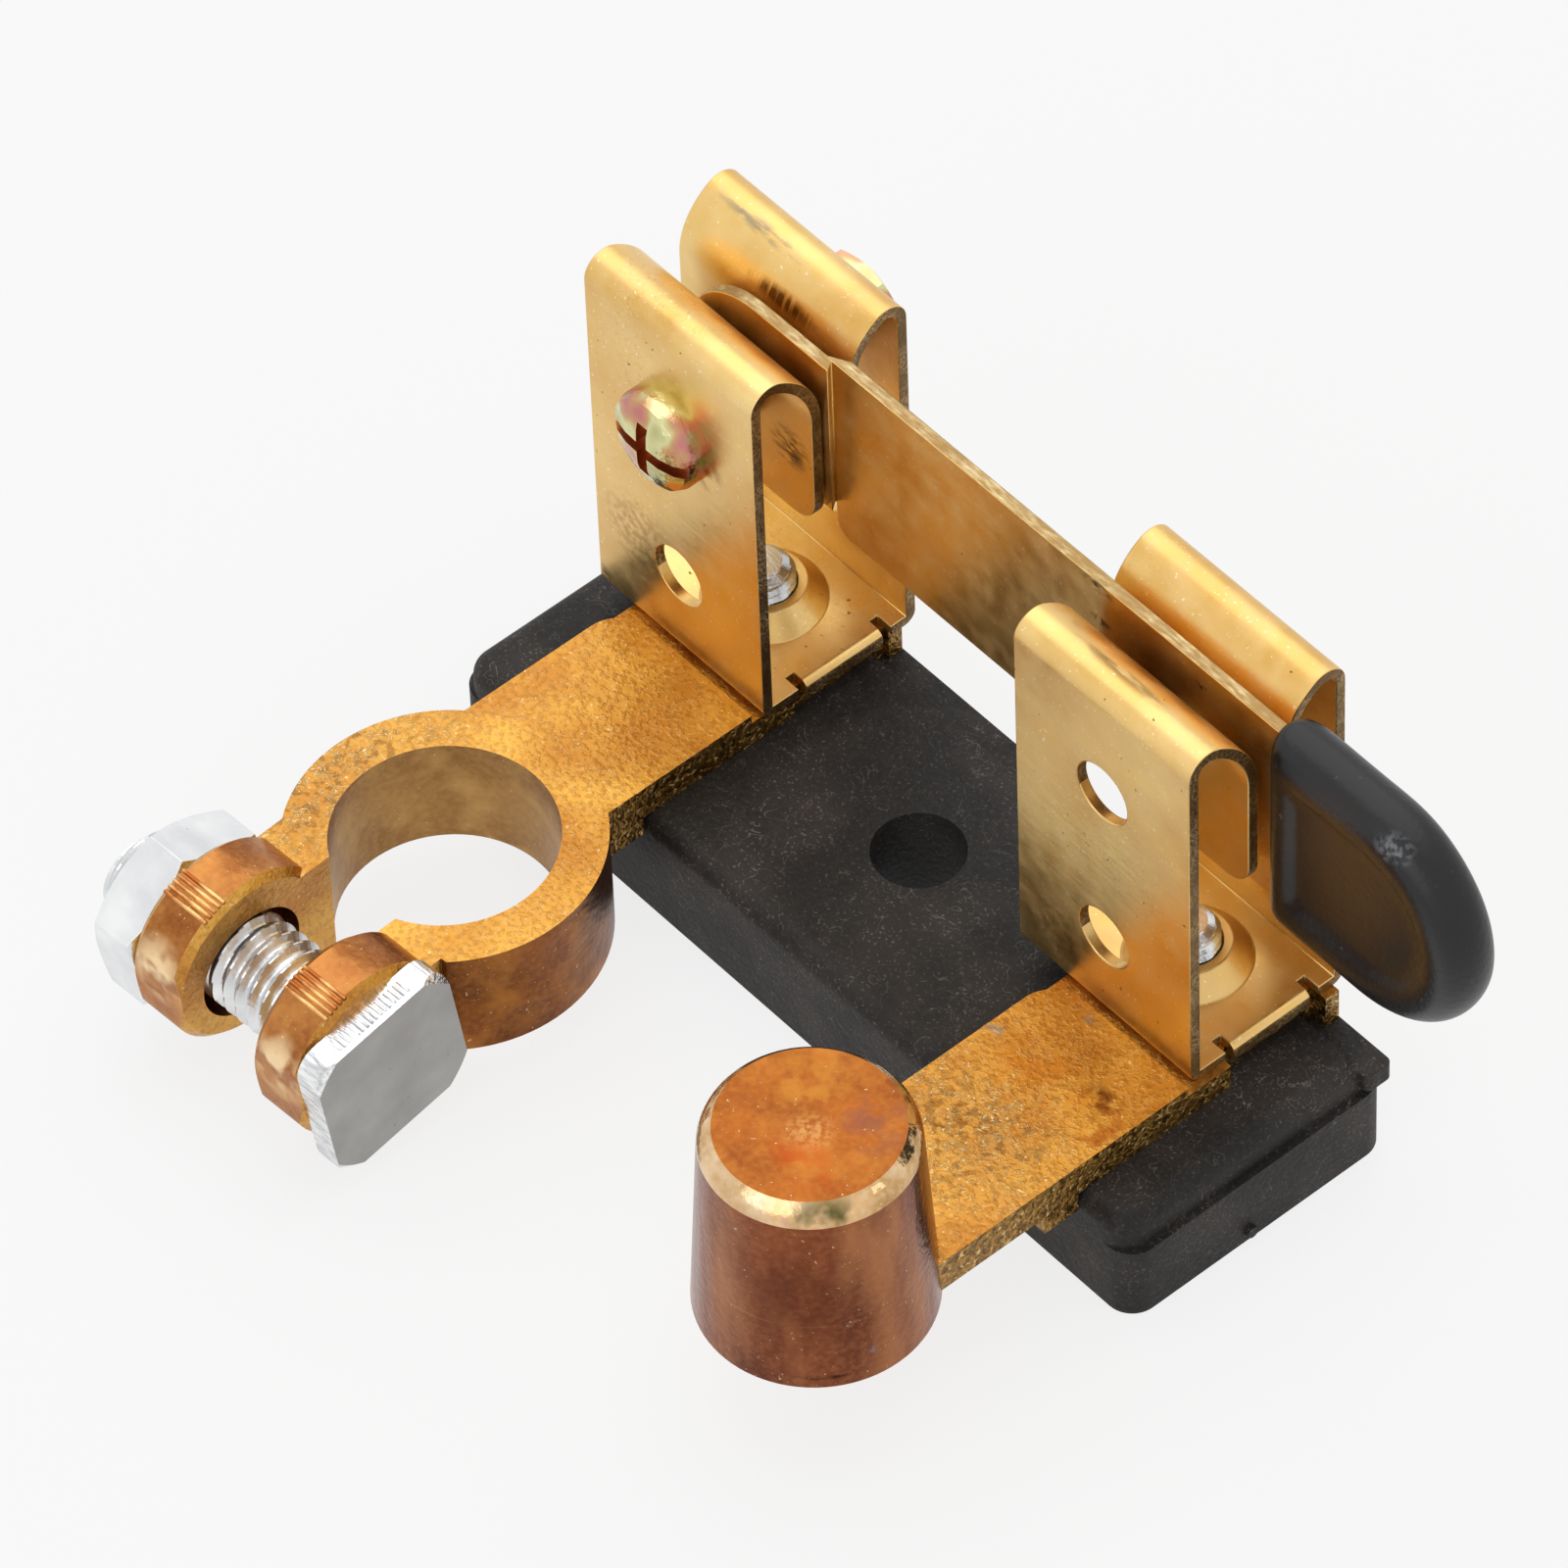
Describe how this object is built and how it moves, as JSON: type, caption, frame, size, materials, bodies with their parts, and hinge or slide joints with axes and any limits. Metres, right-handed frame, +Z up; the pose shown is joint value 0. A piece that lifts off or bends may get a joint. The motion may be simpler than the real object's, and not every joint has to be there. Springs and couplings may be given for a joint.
{
  "type": "battery disconnect switch",
  "caption": "Knife-blade battery disconnect switch: hinged contact blade with a dipped handle, spring-jaw brackets, post clamp and tapered terminal stud on a moulded base.",
  "frame": {"origin": "on the axis of the base's centre hole, in the plane of the base's underside", "axes": "+Z up out of the base; +X from the pivot bracket to the handle; the two terminal arms reach out towards -Y"},
  "size_m": [0.0904, 0.0684, 0.0474],
  "materials": {
    "moulded_base": "matte moulded",
    "cast_brass": "cast, mottled and tarnished",
    "sheet_brass": "rolled sheet, satin",
    "dipped_grip": "satin dipped coating",
    "yellow_zinc": "yellow passivated zinc",
    "white_zinc": "bright zinc plated"
  },
  "bodies": {
    "frame": {"base": "moulded_base", "clamp_arm": "cast_brass", "post_arm": "cast_brass", "pivot_bracket": "sheet_brass", "jaw_bracket": "sheet_brass", "pivot_screw": "yellow_zinc", "pivot_nut": "yellow_zinc", "base_screw_clamp_side": "white_zinc", "base_screw_post_side": "white_zinc"},
    "knife": {"blade": "sheet_brass", "handle_grip": "dipped_grip"},
    "bolt": {"clamp_bolt": "white_zinc"},
    "nut": {"clamp_nut": "white_zinc"}
  },
  "joints": [
    {"name": "blade_pivot", "type": "hinge", "parent": "frame", "child": "knife", "pos_m": [-0.02465, 0.0058, 0.0365], "axis": [0, -1, 0], "range_deg": [0, 180]},
    {"name": "nut_turn", "type": "hinge", "parent": "frame", "child": "nut", "pos_m": [-0.03243, -0.04273, 0.0093], "axis": [0.9984, 0.0558, 0], "range_deg": [0, 864]},
    {"name": "bolt_travel", "type": "slide", "parent": "frame", "child": "bolt", "axis": [0.9984, 0.0558, 0], "range_m": [0, 0.003]}
  ],
  "couplings": [
    {"joint": "bolt_travel", "follows": "nut_turn", "m_per_rad": 0.00019894}
  ]
}
